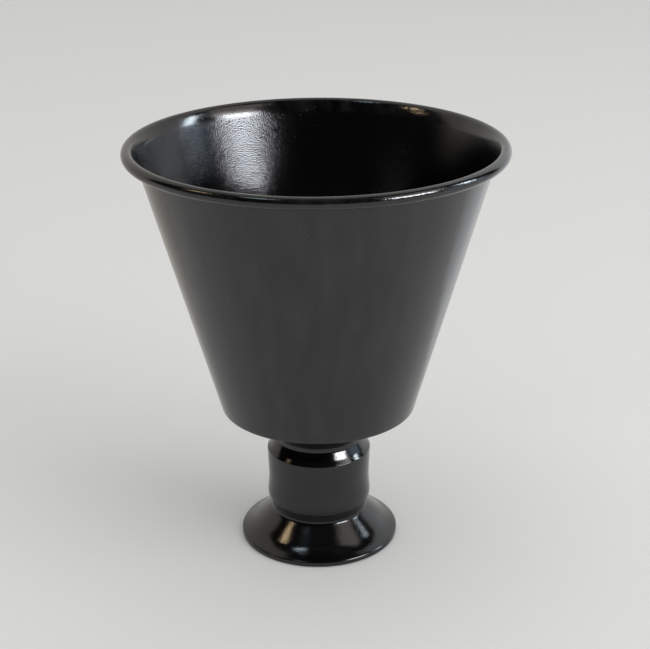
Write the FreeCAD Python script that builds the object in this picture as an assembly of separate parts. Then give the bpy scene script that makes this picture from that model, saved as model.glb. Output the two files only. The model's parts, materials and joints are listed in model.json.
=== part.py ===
import FreeCAD, Part
import math
import os

# Ashtray bin: a spun steel bowl with a rolled rim, on a pedestal of three round pieces
# that one tie rod holds together. Millimetres, +Z up, floor at z = 0, axis on Z.
# Outlines are drawn in the XZ plane as (radius, height) and turned round the axis.

V = FreeCAD.Vector
AXIS_POINT = V(0, 0, 0)
AXIS = V(0, 0, 1)

# Bowl
bowl_height = 191.2          # underside of the floor to the top of the rolled rim
bowl_sheet = 1.0
bowl_rim_radius = 130.0      # outermost reach of the rolled rim
bowl_floor_radius = 68.9     # where the outer skins of wall and floor would meet
bowl_corner = 1.3            # outer radius between floor and wall
curl_radius = 4.05           # outer radius of the rolled rim's round section
curl_gap = 0.05              # between the curl's circle and the line of the wall
curl_end_angle = 200.0       # where the lip stops: 90 is up, 180 faces the wall
flare_radius = 30.0          # bend that leads the wall out into the curl

# Pedestal shells, all of one sheet
shell_sheet = 1.5
foot_height = 30.8
foot_radius = 56.9           # outer reach of the foot
foot_edge_height = 3.0       # where the flare and the upright edge would meet
foot_roll = 1.2              # radius that rolls the flare down into the edge
foot_bend_radius = 49.5      # the flare is hollow: its two slopes would meet here
foot_bend_height = 7.0
foot_bend = 30.0
foot_waist_radius = 34.0     # where the flare and the taper above it would meet
foot_waist_height = 21.2
foot_waist_fillet = 3.0
foot_top_radius = 35.8
foot_top_fillet = 0.8

barrel_height = 36.0
barrel_mouth_radius = 37.1
barrel_mouth_depth = 3.0     # straight part that the neck stands on
barrel_mouth_bend = 60.0
barrel_waist_radius = 36.35  # the barrel is slightly drawn in here
barrel_waist_height = 14.2
barrel_waist_bend = 60.0
barrel_band_radius = 37.15   # and swells again to a plain band over its floor
barrel_band_height = 4.6
barrel_band_bend = 20.0
barrel_corner = 0.6

neck_height = 34.7
neck_waist_radius = 30.6     # where the two flares would meet
neck_waist_height = 11.4
neck_waist_fillet = 4.6
neck_shoulder_radius = 34.6  # the lower flare opens out here
neck_shoulder_height = 4.3
neck_shoulder_bend = 10.0
neck_edge_height = 1.2       # upright edge that stands on the barrel
neck_edge_fillet = 0.5
neck_mouth_radius = 44.6     # where the upper flare and its flange would meet
neck_mouth_fillet = 4.0
neck_flange_radius = 51.0

# Tie rod and its hardware, metric size 8
rod_diameter = 8.0
rod_hole_clearance = 0.3     # radial, in every piece that the rod passes through
thread_clearance = 0.05      # radial, between rod and nuts
nut_flats = 13.0
nut_height = 6.5
nut_chamfer = 1.0
dome_radius = 6.25
dome_nut_height = 15.0
dome_nut_bore = 11.0
dome_nut_play = 0.5          # left above the rod's end inside the dome
washer_radius = 12.0
washer_thickness = 2.0
seal_radius = 13.0
seal_thickness = 1.5
spring_washer_radius = 7.4
spring_washer_thickness = 2.0
spring_washer_turn = 350.0   # degrees of ring, the rest is its slot
rod_tail = 1.6               # rod showing below the lower nut
nut_lift = 1.0               # lower nut above the ballast's lower face

# Inner pieces
gasket_thickness = 1.0
gasket_width = 8.0
tube_radius = 8.0
disc_thickness = 2.0
disc_hub_radius = 12.0
disc_hub_height = 7.0
disc_depth = 0.5             # disc's top below the barrel's mouth
slip_clearance = 0.3         # radial, where a piece slides into another

# Ballast and rubber ring under the foot
ballast_gap = 1.5            # between the casting and the flare over it
ballast_lift = 4.0           # casting's lower face above the floor
ballast_radius = 46.0
ballast_recess_radius = 16.0
ballast_edge = 1.5           # fillet on the casting's outer corner
ring_proud = 0.8             # how far the rubber ring stands below the foot's edge
ring_depth = 1.0             # how far it reaches up inside the edge
ring_width = 5.0
ring_clearance = 0.1

# Levels that follow
rod_radius = rod_diameter / 2
rod_hole = rod_radius + rod_hole_clearance
foot_bottom = ring_proud
foot_top = foot_bottom + foot_height
barrel_top = foot_top + barrel_height
neck_top = barrel_top + neck_height
bowl_bottom = neck_top + gasket_thickness
bowl_floor_top = bowl_bottom + bowl_sheet
seal_top = bowl_floor_top + seal_thickness
dome_nut_seat = seal_top + washer_thickness
barrel_floor_top = foot_top + shell_sheet
foot_ceiling = foot_top - shell_sheet
lower_nut_bottom = ballast_lift + nut_lift
spring_washer_bottom = lower_nut_bottom + nut_height
lower_washer_bottom = spring_washer_bottom + spring_washer_thickness
recess_ceiling = lower_washer_bottom + washer_thickness


def point(radius, height):
    return V(radius, 0, height)


def rounded_edges(corners):
    """Edges through (radius, height, fillet) corners, each turn an arc that is tangent to
    both its sides. A fillet is limited by the shorter side beside it."""
    points = [point(radius, height) for radius, height, _ in corners]
    edges = []
    start = points[0]
    for before, here, after, corner in zip(points, points[1:], points[2:], corners[1:]):
        back = before - here
        ahead = after - here
        half = back.getAngle(ahead) / 2
        longest = 0.48 * min(back.Length, ahead.Length) * math.tan(half)
        fillet = min(corner[2], longest)
        back.normalize()
        ahead.normalize()
        reach = fillet / math.tan(half)
        middle = (back + ahead).normalize() * (fillet / math.sin(half) - fillet)
        edges.append(Part.LineSegment(start, here + back * reach).toShape())
        arc = Part.Arc(here + back * reach, here + middle, here + ahead * reach)
        edges.append(arc.toShape())
        start = here + ahead * reach
    edges.append(Part.LineSegment(start, points[-1]).toShape())
    return edges


def turned_shell(edges, thickness):
    """Sheet spun to the line of edges, its thickness laid to the negative side."""
    section = Part.Wire(edges).makeOffset2D(-thickness, 0, True, True, False)
    return section.revolve(AXIS_POINT, AXIS, 360)


def turned(corners, angle=360):
    """Solid turned from a closed outline of plain (radius, height) corners."""
    points = [point(radius, height) for radius, height in corners]
    outline = Part.makePolygon(points + points[:1])
    return Part.Face(outline).revolve(AXIS_POINT, AXIS, angle)


def washer(outer, inner, bottom, thickness, angle=360):
    top = bottom + thickness
    return turned([(inner, bottom), (outer, bottom), (outer, top), (inner, top)], angle)


def hexagon(flats, bottom, height):
    radius = flats / math.sqrt(3)
    turns = [math.radians(60 * side) for side in range(6)]
    corners = [V(radius * math.cos(a), radius * math.sin(a), bottom) for a in turns]
    return Part.Face(Part.makePolygon(corners + corners[:1])).extrude(V(0, 0, height))


def nut_blank(bottom):
    """Hexagon with its corners turned off at 30 degrees above and below."""
    corner = nut_flats / math.sqrt(3)
    flat = corner - nut_chamfer
    drop = nut_chamfer * math.tan(math.radians(30))
    top = bottom + nut_height
    outline = [(0, bottom), (flat, bottom), (corner, bottom + drop),
               (corner, top - drop), (flat, top), (0, top)]
    return hexagon(nut_flats, bottom, nut_height).common(turned(outline))


def bowl():
    # The line is the inside skin: floor, corner, straight wall, flare and curl.
    curl = point(bowl_rim_radius - curl_radius, bowl_bottom + bowl_height - curl_radius)
    corner = point(bowl_floor_radius, bowl_bottom)
    lean = math.atan2(curl.x - corner.x, curl.z - corner.z)
    lean -= math.asin((curl_radius + curl_gap) / (curl - corner).Length)
    along = point(math.sin(lean), math.cos(lean))
    outward = point(math.cos(lean), -math.sin(lean))

    stand_off = curl_radius + curl_gap + bowl_sheet
    drop = math.sqrt((flare_radius - curl_radius) ** 2 - (flare_radius - stand_off) ** 2)
    flare_start = curl - outward * stand_off - along * drop
    flare_centre = flare_start + outward * flare_radius
    flare_end = flare_centre + (curl - flare_centre).normalize() * flare_radius
    flare_way = (flare_start - flare_centre) + (flare_end - flare_centre)
    flare_middle = flare_centre + flare_way.normalize() * flare_radius

    start_angle = math.atan2(flare_end.z - curl.z, flare_end.x - curl.x)
    end_angle = math.radians(curl_end_angle - 360)
    middle_angle = (start_angle + end_angle) / 2
    curl_middle = curl + point(math.cos(middle_angle), math.sin(middle_angle)) * curl_radius
    curl_end = curl + point(math.cos(end_angle), math.sin(end_angle)) * curl_radius

    inner_corner = bowl_floor_radius + bowl_sheet * (math.sin(lean) - 1) / math.cos(lean)
    edges = rounded_edges([
        (rod_hole, bowl_floor_top, 0),
        (inner_corner, bowl_floor_top, bowl_corner - bowl_sheet),
        (flare_start.x, flare_start.z, 0),
    ])
    edges.append(Part.Arc(flare_start, flare_middle, flare_end).toShape())
    edges.append(Part.Arc(flare_end, curl_middle, curl_end).toShape())
    return turned_shell(edges, bowl_sheet)


def neck():
    underside = neck_top - shell_sheet
    return turned_shell(rounded_edges([
        (neck_flange_radius, underside, 0),
        (neck_mouth_radius, underside, neck_mouth_fillet),
        (neck_waist_radius, barrel_top + neck_waist_height, neck_waist_fillet),
        (neck_shoulder_radius, barrel_top + neck_shoulder_height, neck_shoulder_bend),
        (barrel_mouth_radius, barrel_top + neck_edge_height, neck_edge_fillet),
        (barrel_mouth_radius, barrel_top, 0),
    ]), shell_sheet)


def barrel():
    return turned_shell(rounded_edges([
        (barrel_mouth_radius, barrel_top, 0),
        (barrel_mouth_radius, barrel_top - barrel_mouth_depth, barrel_mouth_bend),
        (barrel_waist_radius, foot_top + barrel_waist_height, barrel_waist_bend),
        (barrel_band_radius, foot_top + barrel_band_height, barrel_band_bend),
        (barrel_band_radius, foot_top, barrel_corner),
        (rod_hole, foot_top, 0),
    ]), shell_sheet)


def foot():
    return turned_shell(rounded_edges([
        (rod_hole, foot_top, 0),
        (foot_top_radius, foot_top, foot_top_fillet),
        (foot_waist_radius, foot_bottom + foot_waist_height, foot_waist_fillet),
        (foot_bend_radius, foot_bottom + foot_bend_height, foot_bend),
        (foot_radius, foot_bottom + foot_edge_height, foot_roll),
        (foot_radius, foot_bottom, 0),
    ]), shell_sheet)


def base_ring():
    outer = foot_radius - shell_sheet - ring_clearance
    return washer(outer, outer - ring_width, 0, ring_proud + ring_depth)


def ballast():
    # The casting's top keeps ballast_gap under the flare's upper slope, and its stem
    # clears the foot's waist.
    slope = (foot_waist_height - foot_bend_height) / (foot_bend_radius - foot_waist_radius)
    down = (shell_sheet + ballast_gap) * math.hypot(1, slope)
    top_at_bend = foot_bottom + foot_bend_height - down
    stem = foot_waist_radius - shell_sheet - slip_clearance
    stem_foot = top_at_bend + (foot_bend_radius - stem) * slope
    edge_top = top_at_bend - (ballast_radius - foot_bend_radius) * slope
    body = turned([
        (rod_hole, foot_ceiling), (stem, foot_ceiling), (stem, stem_foot),
        (ballast_radius, edge_top), (ballast_radius, ballast_lift),
        (ballast_recess_radius, ballast_lift), (ballast_recess_radius, recess_ceiling),
        (rod_hole, recess_ceiling),
    ])
    rim = [edge for edge in body.Edges if abs(edge.BoundBox.XMax - ballast_radius) < 0.01
           and edge.BoundBox.ZLength < 0.01 and edge.BoundBox.ZMin < ballast_lift + 0.01]
    fillet = min(ballast_edge, 0.45 * (edge_top - ballast_lift))
    return body.makeFillet(fillet, rim)


def bowl_gasket():
    return washer(neck_flange_radius, neck_flange_radius - gasket_width, neck_top,
                  gasket_thickness)


def distance_tube():
    return washer(tube_radius, rod_hole, barrel_floor_top, bowl_bottom - barrel_floor_top)


def centring_disc():
    # A pressed disc that keeps the barrel's mouth round and central on the tube.
    top = barrel_top - disc_depth
    bottom = top - disc_thickness
    outer = barrel_mouth_radius - shell_sheet - slip_clearance
    bore = tube_radius + thread_clearance
    hub_bottom = top - disc_hub_height
    return turned([
        (bore, hub_bottom), (disc_hub_radius, hub_bottom), (disc_hub_radius, bottom),
        (outer, bottom), (outer, top), (bore, top),
    ])


def tie_rod():
    bottom = lower_nut_bottom - rod_tail
    top = dome_nut_seat + dome_nut_bore - dome_nut_play
    return Part.makeCylinder(rod_radius, top - bottom, point(0, bottom))


def dome_nut():
    dome_level = dome_nut_height - dome_radius
    centre = point(0, dome_nut_seat + dome_level)
    dome = Part.makeCylinder(dome_radius, dome_level - nut_height / 2,
                             point(0, dome_nut_seat + nut_height / 2))
    dome = dome.fuse(Part.makeSphere(dome_radius, centre))
    nut = nut_blank(dome_nut_seat).fuse(dome).removeSplitter()
    bore = Part.makeCylinder(rod_radius + thread_clearance, dome_nut_bore,
                             point(0, dome_nut_seat))
    return nut.cut(bore)


def base_nut():
    bore = Part.makeCylinder(rod_radius + thread_clearance, nut_height,
                             point(0, lower_nut_bottom))
    return nut_blank(lower_nut_bottom).cut(bore)


nodes = {
    "bowl": bowl(),
    "floor_seal": washer(seal_radius, rod_hole, bowl_floor_top, seal_thickness),
    "load_washer": washer(washer_radius, rod_hole, seal_top, washer_thickness),
    "dome_nut": dome_nut(),
    "bowl_gasket": bowl_gasket(),
    "neck": neck(),
    "centring_disc": centring_disc(),
    "barrel": barrel(),
    "distance_tube": distance_tube(),
    "tie_rod": tie_rod(),
    "foot": foot(),
    "ballast": ballast(),
    "ballast_washer": washer(washer_radius, rod_hole, lower_washer_bottom, washer_thickness),
    "spring_washer": washer(spring_washer_radius, rod_hole, spring_washer_bottom,
                            spring_washer_thickness, spring_washer_turn),
    "base_nut": base_nut(),
    "base_ring": base_ring(),
}

os.makedirs("parts", exist_ok=True)
for name, shape in nodes.items():
    shape.exportStep("parts/" + name + ".step")
    print(name, "solids", len(shape.Solids), "valid", shape.isValid(),
          "volume", round(shape.Volume, 1))
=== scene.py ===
import bmesh
import bpy
import json
import math
from mathutils import Matrix, Vector


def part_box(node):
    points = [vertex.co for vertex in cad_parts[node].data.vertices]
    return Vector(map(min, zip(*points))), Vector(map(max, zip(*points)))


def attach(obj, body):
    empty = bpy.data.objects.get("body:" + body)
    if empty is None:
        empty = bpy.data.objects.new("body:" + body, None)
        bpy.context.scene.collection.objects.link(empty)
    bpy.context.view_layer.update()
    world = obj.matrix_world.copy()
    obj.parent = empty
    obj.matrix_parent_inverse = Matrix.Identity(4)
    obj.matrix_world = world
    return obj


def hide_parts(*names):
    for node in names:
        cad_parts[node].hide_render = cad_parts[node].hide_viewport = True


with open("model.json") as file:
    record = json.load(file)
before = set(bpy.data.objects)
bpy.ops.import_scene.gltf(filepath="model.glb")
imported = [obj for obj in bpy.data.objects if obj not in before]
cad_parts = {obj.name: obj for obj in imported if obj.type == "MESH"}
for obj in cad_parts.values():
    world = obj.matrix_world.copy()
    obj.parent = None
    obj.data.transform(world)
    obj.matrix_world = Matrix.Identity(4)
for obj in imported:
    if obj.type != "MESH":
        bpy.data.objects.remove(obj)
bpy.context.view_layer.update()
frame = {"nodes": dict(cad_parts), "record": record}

scene = bpy.context.scene
scene.view_settings.view_transform = "Standard"
print("frame loaded:", len(frame["nodes"]), "nodes")

# camera, angles in radians
cameraSettings = {
    "place": (0.0, -0.9387, 0.5447),
    "pitch": 0.38665,        # looking down
    "yaw": 0.00545,
    "roll": -0.0062,
    "lens": 80.0,
    "sensor": 36.0,
    "near": 0.01,
    "far": 100.0,
}


def makeCamera(name, settings):
    data = bpy.data.cameras.new(name)
    data.lens = settings["lens"]
    data.sensor_width = settings["sensor"]
    data.clip_start = settings["near"]
    data.clip_end = settings["far"]
    camera = bpy.data.objects.new(name, data)
    scene.collection.objects.link(camera)
    pitch, yaw, roll = settings["pitch"], settings["yaw"], settings["roll"]
    ahead = Vector((math.sin(yaw) * math.cos(pitch), math.cos(yaw) * math.cos(pitch),
                    -math.sin(pitch)))
    side = Vector((math.cos(yaw), -math.sin(yaw), 0.0))
    above = side.cross(ahead)
    side, above = (side * math.cos(roll) + above * math.sin(roll),
                   above * math.cos(roll) - side * math.sin(roll))
    turn = Matrix((side, above, -ahead)).transposed()
    camera.matrix_world = Matrix.Translation(settings["place"]) @ turn.to_4x4()
    scene.camera = camera


makeCamera("camera", cameraSettings)


# a Wire is a socket that can be used in sums
class Wire:
    def __init__(self, finish, socket):
        self.finish = finish
        self.socket = socket

    def combine(self, operation, first, second):
        return self.finish.add("Math", {"operation": operation}, {0: first, 1: second})

    def __add__(self, other):
        return self.combine("ADD", self, other)

    def __radd__(self, other):
        return self.combine("ADD", other, self)

    def __sub__(self, other):
        return self.combine("SUBTRACT", self, other)

    def __rsub__(self, other):
        return self.combine("SUBTRACT", other, self)

    def __mul__(self, other):
        return self.combine("MULTIPLY", self, other)

    def __rmul__(self, other):
        return self.combine("MULTIPLY", other, self)

    def __truediv__(self, other):
        return self.combine("DIVIDE", self, other)

    def __rtruediv__(self, other):
        return self.combine("DIVIDE", other, self)


# a Finish is the node tree of a material or of the world
class Finish:
    def __init__(self, owner):
        owner.use_nodes = True
        self.owner = owner
        self.tree = owner.node_tree
        self.tree.nodes.clear()

    # settings are set on the node itself, then values or wires go to its sockets
    def add(self, kind, settings, sockets, output=0):
        node = self.tree.nodes.new("ShaderNode" + kind)
        for name, value in settings.items():
            if name == "stops":
                self.setStops(node.color_ramp, value)
            else:
                setattr(node, name, value)
        for name, value in sockets.items():
            if isinstance(value, Wire):
                self.tree.links.new(value.socket, node.inputs[name])
            else:
                node.inputs[name].default_value = value
        return Wire(self, node.outputs[output]) if len(node.outputs) else None

    def setStops(self, ramp, stops):
        for position, tone in stops[2:]:    # a new ramp has two stops
            ramp.elements.new(position)
        for element, (position, tone) in zip(ramp.elements, stops):
            element.position = position
            element.color = (tone, tone, tone, 1.0) if isinstance(tone, float) else (*tone, 1.0)

    def place(self):
        return self.add("TexCoord", {}, {}, "Object")

    def split(self, vector):
        return [self.add("SeparateXYZ", {}, {0: vector}, axis) for axis in range(3)]

    def stretch(self, vector, scale):
        return self.add("Mapping", {}, {"Vector": vector, "Scale": scale})

    def noise(self, vector, scale, detail=2.0, roughness=0.5):
        return self.add("TexNoise", {}, {"Vector": vector, "Scale": scale, "Detail": detail,
                                         "Roughness": roughness})

    def cells(self, vector, size):
        return self.add("TexVoronoi", {"feature": "F1"}, {"Vector": vector, "Scale": 1 / size})

    def fade(self, value, start, end):
        return self.add("MapRange", {}, {"Value": value, "From Min": start, "From Max": end})

    def ramp(self, value, *stops):
        return self.add("ValToRGB", {"stops": stops}, {0: value})

    def blend(self, share, first, second):
        return self.add("Mix", {"data_type": "RGBA"}, {0: share, 6: first, 7: second}, 2)

    def bump(self, height):
        return self.add("Bump", {}, {"Height": height, "Strength": 1.0, "Distance": 1.0})

    def done(self, kind, sockets):
        shader = self.add(kind, {}, sockets)
        self.add("OutputMaterial", {}, {"Surface": shader})
        return self.owner


# paint: gloss black powder coat
coatSettings = {
    "colour": (0.0013, 0.0013, 0.0015),
    "gloss": 1.57,           # index of refraction
    "roughness": 0.12,
    "smudge": 0.05,          # change of roughness over the surface
    "smudgeScale": 14.0,
    "peelSize": 0.00098,     # orange peel
    "peelHeight": 0.00003,
    "waveSize": 0.009,
    "waveHeight": 0.00009,
    "dustColour": (0.16, 0.155, 0.15),
    "dustSize": 0.0045,      # spacing of the specks
    "dust": 0.04,            # size of a speck as a share of that
    "dustEdge": 1.6,         # where a speck has faded out, in its own size
    "dustRoughness": 0.5,
    "dustyScale": 30.0,      # dusty places and clean ones
    "dustyFrom": 0.56,
    "dustyTo": 0.66,
}


def coatFinish(name, settings, wall=None):
    finish = Finish(bpy.data.materials.new(name))
    place = finish.place()
    peel = finish.cells(place, settings["peelSize"])
    peel = peel * peel
    wave = finish.noise(place, 1 / settings["waveSize"], detail=1.0)
    height = peel * settings["peelHeight"] + wave * settings["waveHeight"]
    smudges = finish.noise(place, settings["smudgeScale"], detail=4.0, roughness=0.6)
    rough = settings["roughness"] + (smudges - 0.5) * settings["smudge"]

    # dust specks: the middles of some cells
    cells = finish.cells(place, settings["dustSize"])
    dusty = finish.ramp(finish.noise(place, settings["dustyScale"]),
                        (settings["dustyFrom"], 0.0), (settings["dustyTo"], 1.0))
    speck = finish.ramp(cells, (settings["dust"], 1.0),
                        (settings["dust"] * settings["dustEdge"], 0.0)) * dusty
    rough = rough + speck * settings["dustRoughness"]

    colour = (*settings["colour"], 1.0)
    if wall:
        x, y, z = finish.split(place)
        radius = finish.add("Math", {"operation": "SQRT"}, {0: x * x + y * y})
        middle = wall["radius"] + (z - wall["level"]) * wall["slope"]
        inside = finish.add("Math", {"operation": "GREATER_THAN"}, {0: middle, 1: radius})
        inside = inside * finish.fade(z, wall["fadeTop"], wall["fadeLow"])

        def around(turns, rise):
            return finish.add("CombineXYZ", {}, {0: x / radius * turns, 1: y / radius * turns,
                                                 2: z * rise})

        # inside, under the rim, the coat is thicker: its orange peel is deeper, its gloss softer
        thick = inside * finish.fade(z, wall["thickLow"], wall["thickTop"])
        height = height + peel * thick * wall["peelHeight"]
        rough = rough + thick * wall["roughness"]

        # fine lines round the wall, left by spinning, broken up along their length
        lines = finish.noise(around(wall["lineTurns"], wall["lineRise"]), 1.0)
        lines = finish.ramp(lines, (wall["lineFrom"], 0.0), (wall["lineTo"], 1.0)) * inside
        height = height - lines * wall["lineDepth"]

        # slow waves round the wall
        swell = finish.noise(around(wall["swellTurns"], wall["swellRise"]), 1.0, detail=1.0)
        height = height + swell * wall["swell"]

        # painted reflection: lighter streaks down the outside, standing for the room mirrored in a
        # wavy wall
        reflectionStreaks = finish.stretch(place, wall["paintedReflectionScale"])
        reflectionStreaks = finish.noise(reflectionStreaks, 1.0, detail=3.0, roughness=0.6)
        paintedReflection = finish.ramp(reflectionStreaks, (wall["paintedReflectionFrom"], 0.0), (wall["paintedReflectionTo"], 1.0)) * (1.0 - inside)
        colour = finish.blend(paintedReflection, colour, (*wall["paintedReflection"], 1.0))

    colour = finish.blend(speck, colour, (*settings["dustColour"], 1.0))
    return finish.done("BsdfPrincipled", {"Base Color": colour, "Roughness": rough,
                                          "Normal": finish.bump(height), "IOR": settings["gloss"]})


# plated steel of the nuts and washers
zincSettings = {
    "colour": (0.56, 0.57, 0.59),
    "stain": (0.42, 0.43, 0.44),
    "stainScale": 90.0,
    "stainFrom": 0.3,
    "stainTo": 0.7,
    "stainRoughness": 0.25,
    "roughness": 0.3,
    "grain": 0.0012,
    "grainRoughness": 0.15,
    "grainHeight": 0.000006,
    "turning": (60.0, 60.0, 3000.0),
    "turningHeight": 0.000008,
}


def zincFinish(name, settings):
    finish = Finish(bpy.data.materials.new(name))
    place = finish.place()
    grain = finish.noise(place, 1 / settings["grain"], detail=3.0)
    turning = finish.stretch(place, settings["turning"])
    turning = finish.noise(turning, 1.0, detail=3.0, roughness=0.6)
    stain = finish.noise(place, settings["stainScale"], detail=4.0, roughness=0.65)
    tone = finish.ramp(stain, (settings["stainFrom"], settings["stain"]),
                       (settings["stainTo"], settings["colour"]))
    rough = (settings["roughness"] + (stain - 0.5) * settings["stainRoughness"]
             + (grain - 0.5) * settings["grainRoughness"])
    height = grain * settings["grainHeight"] + turning * settings["turningHeight"]
    return finish.done("BsdfPrincipled", {"Base Color": tone, "Roughness": rough,
                                          "Normal": finish.bump(height), "Metallic": 1.0})


# rubber with a grey bloom, and cast iron with some rust
rubberSettings = {
    "colour": (0.014, 0.014, 0.014),
    "patch": (0.05, 0.05, 0.048),
    "patchScale": 70.0,
    "patchStops": ((0.45, 0.0), (0.75, 0.35)),
    "patchRoughness": 0.3,
    "roughness": 0.62,
    "metal": 0.0,
    "grain": 0.0007,
    "grainDetail": 3.0,
    "grainRoughness": 0.6,
    "grainHeight": 0.00002,
}
ironSettings = {
    "colour": (0.045, 0.044, 0.043),
    "patch": (0.11, 0.055, 0.03),
    "patchScale": 60.0,
    "patchStops": ((0.5, 0.0), (0.72, 0.6)),
    "patchRoughness": 0.3,
    "roughness": 0.6,
    "metal": 0.4,
    "grain": 0.0018,
    "grainDetail": 5.0,
    "grainRoughness": 0.65,
    "grainHeight": 0.0002,
}


def roughFinish(name, settings):
    finish = Finish(bpy.data.materials.new(name))
    place = finish.place()
    grain = finish.noise(place, 1 / settings["grain"], settings["grainDetail"],
                         settings["grainRoughness"])
    patch = finish.noise(place, settings["patchScale"], detail=4.0, roughness=0.6)
    tone = finish.blend(finish.ramp(patch, *settings["patchStops"]),
                        (*settings["colour"], 1.0), (*settings["patch"], 1.0))
    rough = settings["roughness"] + (patch - 0.5) * settings["patchRoughness"]
    height = grain * settings["grainHeight"]
    return finish.done("BsdfPrincipled", {"Base Color": tone, "Roughness": rough,
                                          "Normal": finish.bump(height),
                                          "Metallic": settings["metal"]})


# outlines: a line of edges in the XZ plane, spun round Z
mergeDistance = 0.000002
sharpAngle = 0.6             # edges bent more than this stay sharp, in radians
longestFillet = 0.48         # how much of a straight side a fillet may take


def startLine(radius, height):
    bm = bmesh.new()
    return bm, bm.verts.new((radius, 0.0, height))


def runTo(bm, last, radius, height):
    vert = bm.verts.new((radius, 0.0, height))
    bm.edges.new((last, vert))
    return vert


def swingTo(bm, last, centre, angle, steps):
    spun = bmesh.ops.spin(bm, geom=[last], cent=centre, axis=(0.0, 1.0, 0.0), angle=angle,
                          steps=steps)
    return spun["geom_last"][0]


def roundCorner(bm, vert, fillet, segments):
    sides = [(edge.other_vert(vert).co - vert.co) for edge in vert.link_edges]
    half = sides[0].angle(sides[1]) / 2
    reach = min(fillet / math.tan(half), longestFillet * min(side.length for side in sides))
    bmesh.ops.bevel(bm, geom=[vert], offset=reach, offset_type="OFFSET", affect="VERTICES",
                    segments=segments, profile=0.5, material=-1)


def divideEdges(bm, step):
    # with short edges the shading stays true beside the bends
    for edge in bm.edges[:]:
        cuts = int(edge.calc_length() / step)
        if cuts:
            bmesh.ops.subdivide_edges(bm, edges=[edge], cuts=cuts)


# spin and solidify leave edges and faces in a chance order: this gives them that of their vertices
def sortFaces(bm):
    bm.verts.index_update()
    count = len(bm.verts)

    def rank(part):
        spots = sorted(vert.index for vert in part.verts)
        return (spots[0] * count + spots[1]) * count + spots[-1]

    bm.edges.sort(key=rank)
    bm.faces.sort(key=rank)


def spinLine(bm, steps):
    bmesh.ops.spin(bm, geom=bm.verts[:] + bm.edges[:], cent=(0.0, 0.0, 0.0), axis=(0.0, 0.0, 1.0),
                   angle=math.tau, steps=steps, use_merge=True)
    sortFaces(bm)
    bmesh.ops.remove_doubles(bm, verts=bm.verts[:], dist=mergeDistance)
    bmesh.ops.recalc_face_normals(bm, faces=bm.faces[:])


def turnOutwards(bm):
    if bm.calc_volume(signed=True) < 0:
        bmesh.ops.reverse_faces(bm, faces=bm.faces[:])


# the line is one skin of a sheet: the outer one where outwards is true
def spinSheet(bm, settings, outwards):
    divideEdges(bm, settings["step"])
    spinLine(bm, settings["spinSteps"])
    widest = max(bm.faces, key=lambda face: face.calc_area())
    centre = widest.calc_center_median()
    if (widest.normal.dot(Vector((centre.x, centre.y, 0.0))) > 0) != outwards:
        bmesh.ops.reverse_faces(bm, faces=bm.faces[:])
    bmesh.ops.solidify(bm, geom=bm.faces[:], thickness=settings["sheet"])
    sortFaces(bm)
    turnOutwards(bm)


def addObject(name, bm, material):
    mesh = bpy.data.meshes.new(name)
    bm.to_mesh(mesh)
    bm.free()
    mesh.materials.append(material)
    added = bpy.data.objects.new(name, mesh)
    scene.collection.objects.link(added)
    return added


def makePiece(name, bm, material, nodes):
    for face in bm.faces:
        face.smooth = True
    for edge in bm.edges:
        edge.smooth = len(edge.link_faces) == 2 and edge.calc_face_angle() < sharpAngle
    piece = addObject(name, bm, material)
    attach(piece, "root")
    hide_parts(*nodes)
    low, high = piece.bound_box[0], piece.bound_box[6]
    print(name, len(piece.data.polygons), "faces",
          [round(v, 5) for v in low], [round(v, 5) for v in high])


# sizes are in metres, and a fillet is its radius and its number of segments
rodHole = 0.0043             # radius of the hole that the rod passes through

# bowl
bowlSettings = {
    "rimRadius": 0.12999,
    "floorRadius": 0.0689,
    "corner": (0.0003, 6),   # on the inner skin, between floor and wall
    "sheet": 0.001,
    "curlRadius": 0.00405,
    "curlGap": 0.00005,
    "curlEnd": 200.0,        # degrees, where the lip faces the wall
    "curlSteps": 40,
    "flareRadius": 0.030,
    "flareSteps": 8,
    "step": 0.004,
    "spinSteps": 240,
}


# level of the floor's underside, middle of the curl, and lean of the wall
def bowlLine(settings):
    low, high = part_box("bowl")
    curl = Vector((settings["rimRadius"] - settings["curlRadius"], 0.0,
                   high[2] - settings["curlRadius"]))
    corner = Vector((settings["floorRadius"], 0.0, low[2]))
    lean = math.atan2(curl.x - corner.x, curl.z - corner.z)
    lean -= math.asin((settings["curlRadius"] + settings["curlGap"]) / (curl - corner).length)
    return low[2], curl, lean


def makeBowl(settings, material):
    bottom, curl, lean = bowlLine(settings)
    along = Vector((math.sin(lean), 0.0, math.cos(lean)))
    outward = Vector((math.cos(lean), 0.0, -math.sin(lean)))
    standOff = settings["curlRadius"] + settings["curlGap"] + settings["sheet"]
    flare = settings["flareRadius"]
    drop = math.sqrt((flare - settings["curlRadius"]) ** 2 - (flare - standOff) ** 2)
    flareStart = curl - outward * standOff - along * drop
    flareCentre = flareStart + outward * flare
    flareTurn = (flareStart - flareCentre).angle(curl - flareCentre)
    floorTop = bottom + settings["sheet"]
    cornerRadius = (settings["floorRadius"]
                    + settings["sheet"] * (math.sin(lean) - 1) / math.cos(lean))

    bm, last = startLine(rodHole, floorTop)
    corner = runTo(bm, last, cornerRadius, floorTop)
    last = runTo(bm, corner, flareStart.x, flareStart.z)
    last = swingTo(bm, last, flareCentre, flareTurn, settings["flareSteps"])
    meeting = math.atan2(last.co.z - curl.z, last.co.x - curl.x)
    curlTurn = meeting - math.radians(settings["curlEnd"] - 360)
    swingTo(bm, last, curl, curlTurn, settings["curlSteps"])
    roundCorner(bm, corner, *settings["corner"])
    spinSheet(bm, settings, False)
    makePiece("bowlShell", bm, material, ["bowl"])


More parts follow.
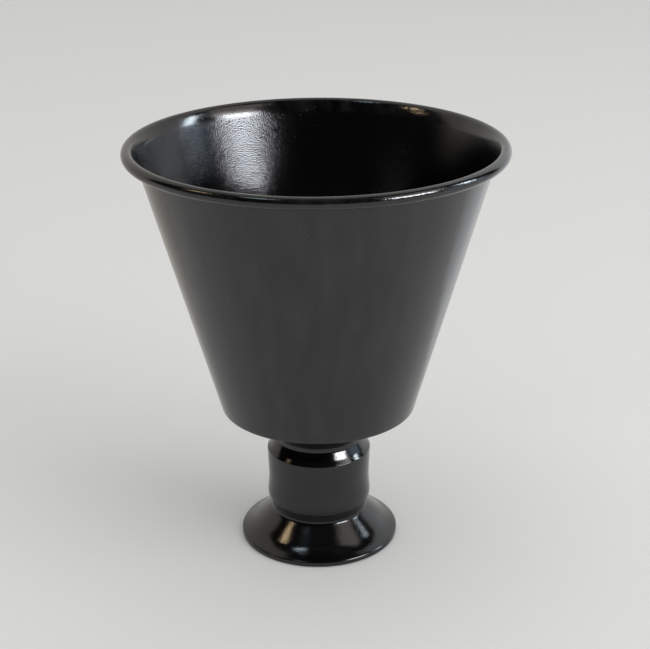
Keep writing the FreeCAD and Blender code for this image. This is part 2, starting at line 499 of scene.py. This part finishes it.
# neck between bowl and barrel
neckSettings = {
    "flangeRadius": 0.051,
    "mouthRadius": 0.0446,
    "mouthFillet": (0.004, 10),
    "waistRadius": 0.0306,
    "waistHeight": 0.0114,   # heights are over the neck's foot
    "waistFillet": (0.0046, 14),
    "shoulderRadius": 0.0346,
    "shoulderHeight": 0.0043,
    "shoulderBend": (0.010, 6),
    "edgeRadius": 0.0371,
    "edgeHeight": 0.0012,
    "edgeFillet": (0.0005, 8),
    "sheet": 0.0015,
    "step": 0.0012,
    "spinSteps": 192,
}


def makeNeck(settings, material):
    low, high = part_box("neck")
    foot, underside = low[2], high[2] - settings["sheet"]
    bm, last = startLine(settings["flangeRadius"], underside)
    mouth = runTo(bm, last, settings["mouthRadius"], underside)
    waist = runTo(bm, mouth, settings["waistRadius"], foot + settings["waistHeight"])
    shoulder = runTo(bm, waist, settings["shoulderRadius"], foot + settings["shoulderHeight"])
    edge = runTo(bm, shoulder, settings["edgeRadius"], foot + settings["edgeHeight"])
    runTo(bm, edge, settings["edgeRadius"], foot)
    roundCorner(bm, mouth, *settings["mouthFillet"])
    roundCorner(bm, waist, *settings["waistFillet"])
    roundCorner(bm, edge, *settings["edgeFillet"])
    roundCorner(bm, shoulder, *settings["shoulderBend"])
    spinSheet(bm, settings, True)
    makePiece("neckShell", bm, material, ["neck"])


# barrel, a drawn cup
barrelSettings = {
    "mouthRadius": 0.0371,
    "mouthDepth": 0.003,
    "mouthBend": (0.060, 4),
    "waistRadius": 0.03635,
    "waistHeight": 0.0142,   # heights are over the barrel's floor
    "waistBend": (0.060, 6),
    "bandRadius": 0.03715,
    "bandHeight": 0.0046,
    "bandBend": (0.020, 6),
    "corner": (0.0006, 10),
    "sheet": 0.0015,
    "step": 0.0012,
    "spinSteps": 192,
}


def makeBarrel(settings, material):
    low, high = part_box("barrel")
    bottom, top = low[2], high[2]
    bm, last = startLine(settings["mouthRadius"], top)
    mouth = runTo(bm, last, settings["mouthRadius"], top - settings["mouthDepth"])
    waist = runTo(bm, mouth, settings["waistRadius"], bottom + settings["waistHeight"])
    band = runTo(bm, waist, settings["bandRadius"], bottom + settings["bandHeight"])
    corner = runTo(bm, band, settings["bandRadius"], bottom)
    runTo(bm, corner, rodHole, bottom)
    roundCorner(bm, corner, *settings["corner"])
    roundCorner(bm, band, *settings["bandBend"])
    roundCorner(bm, waist, *settings["waistBend"])
    roundCorner(bm, mouth, *settings["mouthBend"])
    spinSheet(bm, settings, True)
    makePiece("barrelShell", bm, material, ["barrel"])


# foot
footSettings = {
    "edgeRadius": 0.0569,
    "edgeHeight": 0.003,     # heights are over the foot's edge
    "roll": (0.0012, 10),
    "bendRadius": 0.0495,    # the flare is hollow
    "bendHeight": 0.007,
    "bend": (0.030, 6),
    "waistRadius": 0.034,
    "waistHeight": 0.0212,
    "waistFillet": (0.003, 12),
    "topRadius": 0.0358,
    "topFillet": (0.0008, 8),
    "sheet": 0.0015,
    "step": 0.0012,
    "spinSteps": 224,
}


def makeFoot(settings, material):
    low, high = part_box("foot")
    bottom, top = low[2], high[2]
    bm, last = startLine(rodHole, top)
    rim = runTo(bm, last, settings["topRadius"], top)
    waist = runTo(bm, rim, settings["waistRadius"], bottom + settings["waistHeight"])
    bend = runTo(bm, waist, settings["bendRadius"], bottom + settings["bendHeight"])
    edge = runTo(bm, bend, settings["edgeRadius"], bottom + settings["edgeHeight"])
    runTo(bm, edge, settings["edgeRadius"], bottom)
    roundCorner(bm, edge, *settings["roll"])
    roundCorner(bm, waist, *settings["waistFillet"])
    roundCorner(bm, bend, *settings["bend"])
    roundCorner(bm, rim, *settings["topFillet"])
    spinSheet(bm, settings, True)
    makePiece("footShell", bm, material, ["foot"])


# what the coat does on the bowl's wall
bottom, _, lean = bowlLine(bowlSettings)
wallCoatSettings = {
    "radius": bowlSettings["floorRadius"] - bowlSettings["sheet"] / 2,
    "level": bottom,
    "slope": math.tan(lean),
    "fadeLow": 0.284,        # levels between which the inside gives way to the rim
    "fadeTop": 0.287,
    "thickLow": 0.226,       # levels between which the thicker coat sets in
    "thickTop": 0.256,
    "peelHeight": 0.00006,   # over the coat's own
    "roughness": 0.03,       # over the coat's own
    "lineTurns": 2.2,
    "lineRise": 420.0,
    "lineFrom": 0.63,
    "lineTo": 0.68,
    "lineDepth": 0.000002,
    "swellTurns": 5.0,
    "swellRise": 3.0,
    "swell": 0.00005,
    # painted reflection: colour of the lighter streaks down the outside
    "paintedReflection": (0.01, 0.01, 0.0105),
    "paintedReflectionScale": (90.0, 90.0, 12.0),
    "paintedReflectionFrom": 0.38,
    "paintedReflectionTo": 0.7,
}
bowlCoat = coatFinish("bowl coat", coatSettings, wallCoatSettings)
pedestalCoat = coatFinish("pedestal coat", coatSettings)
makeBowl(bowlSettings, bowlCoat)
makeNeck(neckSettings, pedestalCoat)
makeBarrel(barrelSettings, pedestalCoat)
makeFoot(footSettings, pedestalCoat)
print("painted shells made")

# one finish for each slot of the record
finishes = {
    "zinc_steel": zincFinish("zinc plate", zincSettings),
    "black_rubber": roughFinish("black rubber", rubberSettings),
    "raw_iron": roughFinish("raw iron", ironSettings),
    "black_coat": pedestalCoat,
}

# rings and nuts: a closed outline in the XZ plane, spun round Z
ringSettings = {
    "floorSeal": {"node": "floor_seal", "slot": "black_rubber",
                  "bore": rodHole, "edge": (0.0005, 4), "spinSteps": 96},
    "loadWasher": {"node": "load_washer", "slot": "zinc_steel",
                   "bore": rodHole, "edge": (0.0003, 4), "spinSteps": 96},
    "bowlGasket": {"node": "bowl_gasket", "slot": "black_rubber",
                   "width": 0.008, "edge": (0.0003, 4), "spinSteps": 144},
    "ballastWasher": {"node": "ballast_washer", "slot": "zinc_steel",
                      "bore": rodHole, "edge": (0.0003, 4), "spinSteps": 96},
    "baseRing": {"node": "base_ring", "slot": "black_rubber",
                 "width": 0.005, "edge": (0.0004, 4), "spinSteps": 192},
}


def makeRing(name, settings):
    low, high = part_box(settings["node"])
    outer = high[0]
    bore = settings.get("bore") or outer - settings["width"]
    bm, start = startLine(bore, low[2])
    corners = [start, runTo(bm, start, outer, low[2])]
    corners.append(runTo(bm, corners[-1], outer, high[2]))
    corners.append(runTo(bm, corners[-1], bore, high[2]))
    bm.edges.new((corners[-1], start))
    for corner in corners:
        roundCorner(bm, corner, *settings["edge"])
    spinLine(bm, settings["spinSteps"])
    turnOutwards(bm)
    makePiece(name, bm, finishes[settings["slot"]], [settings["node"]])


domeNutSettings = {
    "node": "dome_nut",
    "slot": "zinc_steel",
    "flats": 0.013,
    "height": 0.0065,
    "chamfer": 0.001,
    "bore": 0.00405,
    "lead": 0.0004,          # chamfer of the bore
    "dome": 0.00625,
    "domeSteps": 20,
    "neckFillet": (0.0002, 5),
    "depth": 0.011,
    "step": 0.0004,
    "spinSteps": 144,
}
baseNutSettings = {
    "node": "base_nut",
    "slot": "zinc_steel",
    "flats": 0.013,
    "height": 0.0065,
    "chamfer": 0.001,
    "bore": 0.00405,
    "lead": 0.0004,
    "dome": None,
    "step": 0.0004,
    "spinSteps": 144,
}
chamferSlope = math.tan(math.radians(30))
sixth = math.pi / 3          # of a turn


def makeNut(name, settings):
    low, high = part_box(settings["node"])
    bottom, top = low[2], low[2] + settings["height"]
    corner = settings["flats"] / math.sqrt(3)
    flat = corner - settings["chamfer"]
    drop = settings["chamfer"] * chamferSlope
    bore, lead, dome = settings["bore"], settings["lead"], settings["dome"]
    if dome:
        bm, last = startLine(0.0, bottom + settings["depth"])
        last = runTo(bm, last, bore, bottom + settings["depth"])
    else:
        bm, start = startLine(bore, top - lead)
        last = start
    last = runTo(bm, last, bore, bottom + lead)
    last = runTo(bm, last, bore + lead, bottom)
    last = runTo(bm, last, flat, bottom)
    last = runTo(bm, last, corner, bottom + drop)
    last = runTo(bm, last, corner, top - drop)
    last = runTo(bm, last, flat, top)
    if dome:
        neck = runTo(bm, last, dome, top)
        last = runTo(bm, neck, dome, high[2] - dome)
        swingTo(bm, last, (0.0, 0.0, high[2] - dome), -math.pi / 2, settings["domeSteps"])
        roundCorner(bm, neck, *settings["neckFillet"])
    else:
        last = runTo(bm, last, bore + lead, top)
        bm.edges.new((last, start))
    divideEdges(bm, settings["step"])
    spinLine(bm, settings["spinSteps"])
    turnOutwards(bm)
    # what reaches past the flats is drawn in to them
    for vert in bm.verts:
        turn = math.atan2(vert.co.y, vert.co.x) % sixth - sixth / 2
        reach = settings["flats"] / 2 / math.cos(turn)
        radius = math.hypot(vert.co.x, vert.co.y)
        if radius > reach:
            vert.co.x *= reach / radius
            vert.co.y *= reach / radius
    makePiece(name, bm, finishes[settings["slot"]], [settings["node"]])


for name, settings in ringSettings.items():
    makeRing(name, settings)
makeNut("domeNut", domeNutSettings)
makeNut("baseNut", baseNutSettings)
print("rings and nuts made")

# the pieces that stay as the frame has them
for part in frame["record"]["subparts"]:
    node = frame["nodes"][part["node"]]
    node.data.materials.clear()
    node.data.materials.append(finishes[part["material_slot"]])
print("frame pieces finished")

# floor
floorSettings = {"size": 30.0, "colour": (0.74, 0.74, 0.735), "roughness": 0.85, "shine": 0.2}


def makeFloor(settings):
    bm = bmesh.new()
    bmesh.ops.create_grid(bm, x_segments=1, y_segments=1, size=settings["size"] / 2)
    finish = Finish(bpy.data.materials.new("pale floor"))
    material = finish.done("BsdfPrincipled", {"Base Color": (*settings["colour"], 1.0),
                                              "Roughness": settings["roughness"],
                                              "Specular IOR Level": settings["shine"]})
    floor = addObject("floor", bm, material)


makeFloor(floorSettings)

# each lamp: azimuth, elevation, distance, width, height, brightness of its face, colour, and
# whether gloss or the floor shows it; azimuth 0 is towards the camera and 90 to its right
lampSettings = {
    "window": (55.5, 22.4, 2.2, 1.0, 0.5, 25.0, (0.90, 0.93, 1.0), "gloss"),
    "blindLow": (61.0, 31.5, 2.2, 1.2, 0.36, 4.2, (1.0, 0.95, 0.93), "gloss"),
    "blindHigh": (66.0, 46.0, 2.2, 1.3, 0.74, 1.2, (1.0, 0.92, 0.88), "gloss"),
    "sideWindow": (97.0, 24.8, 2.2, 0.28, 0.64, 20.0, (0.8, 0.91, 1.0), "gloss"),
    "curtain": (92.0, 9.0, 2.2, 1.3, 0.7, 1.2, (0.64, 0.79, 1.0), "gloss"),
    "warmLamp": (-80.0, 43.5, 2.0, 0.3, 0.09, 20.0, (1.0, 0.74, 0.44), "gloss"),
    "tableLamp": (-80.0, 34.0, 2.0, 0.16, 0.1, 10.0, (1.0, 0.76, 0.46), "gloss"),
    "skylight": (-55.0, 64.5, 2.0, 0.4, 0.15, 10.0, (0.72, 0.90, 1.0), "gloss"),
    "daylight": (60.0, 34.0, 3.0, 2.6, 1.8, 2.25, (1.0, 1.0, 0.99), "floor"),
    "fill": (0.0, 88.0, 6.0, 6.0, 6.0, 0.5, (1.0, 1.0, 1.0), "floor"),
}
lampCentre = Vector((0.0, 0.0, 0.2))


def towards(azimuth, elevation):
    azimuth, elevation = math.radians(azimuth), math.radians(elevation)
    return Vector((math.sin(azimuth) * math.cos(elevation), -math.cos(azimuth) * math.cos(elevation),
                   math.sin(elevation)))


def makeLamp(name, settings):
    azimuth, elevation, distance, width, height, brightness, colour, shownBy = settings
    data = bpy.data.lights.new(name, "AREA")
    data.shape = "RECTANGLE"
    data.size, data.size_y = width, height
    data.energy = brightness * math.pi * width * height
    data.color = colour
    lamp = bpy.data.objects.new(name, data)
    scene.collection.objects.link(lamp)
    way = towards(azimuth, elevation)
    lamp.matrix_world = (Matrix.Translation(way * distance + lampCentre)
                         @ way.to_track_quat("Z", "Y").to_matrix().to_4x4())
    lamp.visible_glossy = shownBy == "gloss"
    lamp.visible_diffuse = shownBy == "floor"


for name, settings in lampSettings.items():
    makeLamp(name, settings)

# a glowing wall stands behind, and only gloss shows it: its emission paints the reflection of a lit
# wall
wallSettings = {
    "distance": 0.184,
    "left": -0.75,
    "right": 0.44,
    "height": 2.4,
    # painted shade and light: the wall's tones run from darker at left to brighter at right
    "tones": ((-0.32, (0.6, 0.57, 0.52)), (0.12, (0.72, 0.715, 0.7)), (0.17, (0.74, 0.735, 0.72)),
              (0.22, (0.96, 0.98, 1.0))),    # from left to right
}


def makeWall(settings):
    bm = bmesh.new()
    grid = bmesh.ops.create_grid(bm, x_segments=1, y_segments=1, size=0.5)
    width = settings["right"] - settings["left"]
    for vert in grid["verts"]:
        vert.co = (settings["left"] + (vert.co.x + 0.5) * width, settings["distance"],
                   (vert.co.y + 0.5) * settings["height"])
    finish = Finish(bpy.data.materials.new("glowing wall, shaded at left"))
    across = finish.split(finish.place())[0]
    # a ramp runs from 0 to 1, so places across the wall are counted from its middle
    tone = finish.ramp(across + 0.5, *((0.5 + spot, tone) for spot, tone in settings["tones"]))
    # the wall glows, with painted shade at its left, in place of a wall lit by the lamps
    wall = addObject("wall", bm, finish.done("Emission", {"Color": tone, "Strength": 1.0}))
    wall.visible_camera = False
    wall.visible_diffuse = False
    wall.visible_shadow = False
    wall.visible_transmission = False


makeWall(wallSettings)

# the room: pale behind the object, and for gloss dark above a lighter horizon
roomSettings = {
    "pale": (0.69, 0.688, 0.675),
    "soft": (0.7, 0.7, 0.69),
    "tones": ((0.5, (0.3, 0.29, 0.28)), (0.525, (0.2, 0.19, 0.18)), (0.56, (0.03, 0.029, 0.028)),
              (0.6, (0.006, 0.006, 0.006)), (0.85, (0.006, 0.006, 0.006)), (0.93, (0.02, 0.02, 0.02)),
              (0.98, (0.09, 0.09, 0.09))),    # from the horizon, at 0.5, to the zenith, at 1
}


def makeRoom(settings):
    finish = Finish(scene.world or bpy.data.worlds.new("room"))
    scene.world = finish.owner
    way = finish.add("TexCoord", {}, {}, "Generated")
    height = finish.split(way)[2]
    tone = finish.ramp(height * 0.5 + 0.5, *settings["tones"])
    seen = finish.add("LightPath", {}, {}, "Is Camera Ray")
    mirrored = finish.add("LightPath", {}, {}, "Is Glossy Ray")
    colour = finish.blend(mirrored, (*settings["soft"], 1.0), tone)
    colour = finish.blend(seen, colour, (*settings["pale"], 1.0))
    shader = finish.add("Background", {}, {"Color": colour, "Strength": 1.0})
    finish.add("OutputWorld", {}, {"Surface": shader})


makeRoom(roomSettings)
print("stage ready")
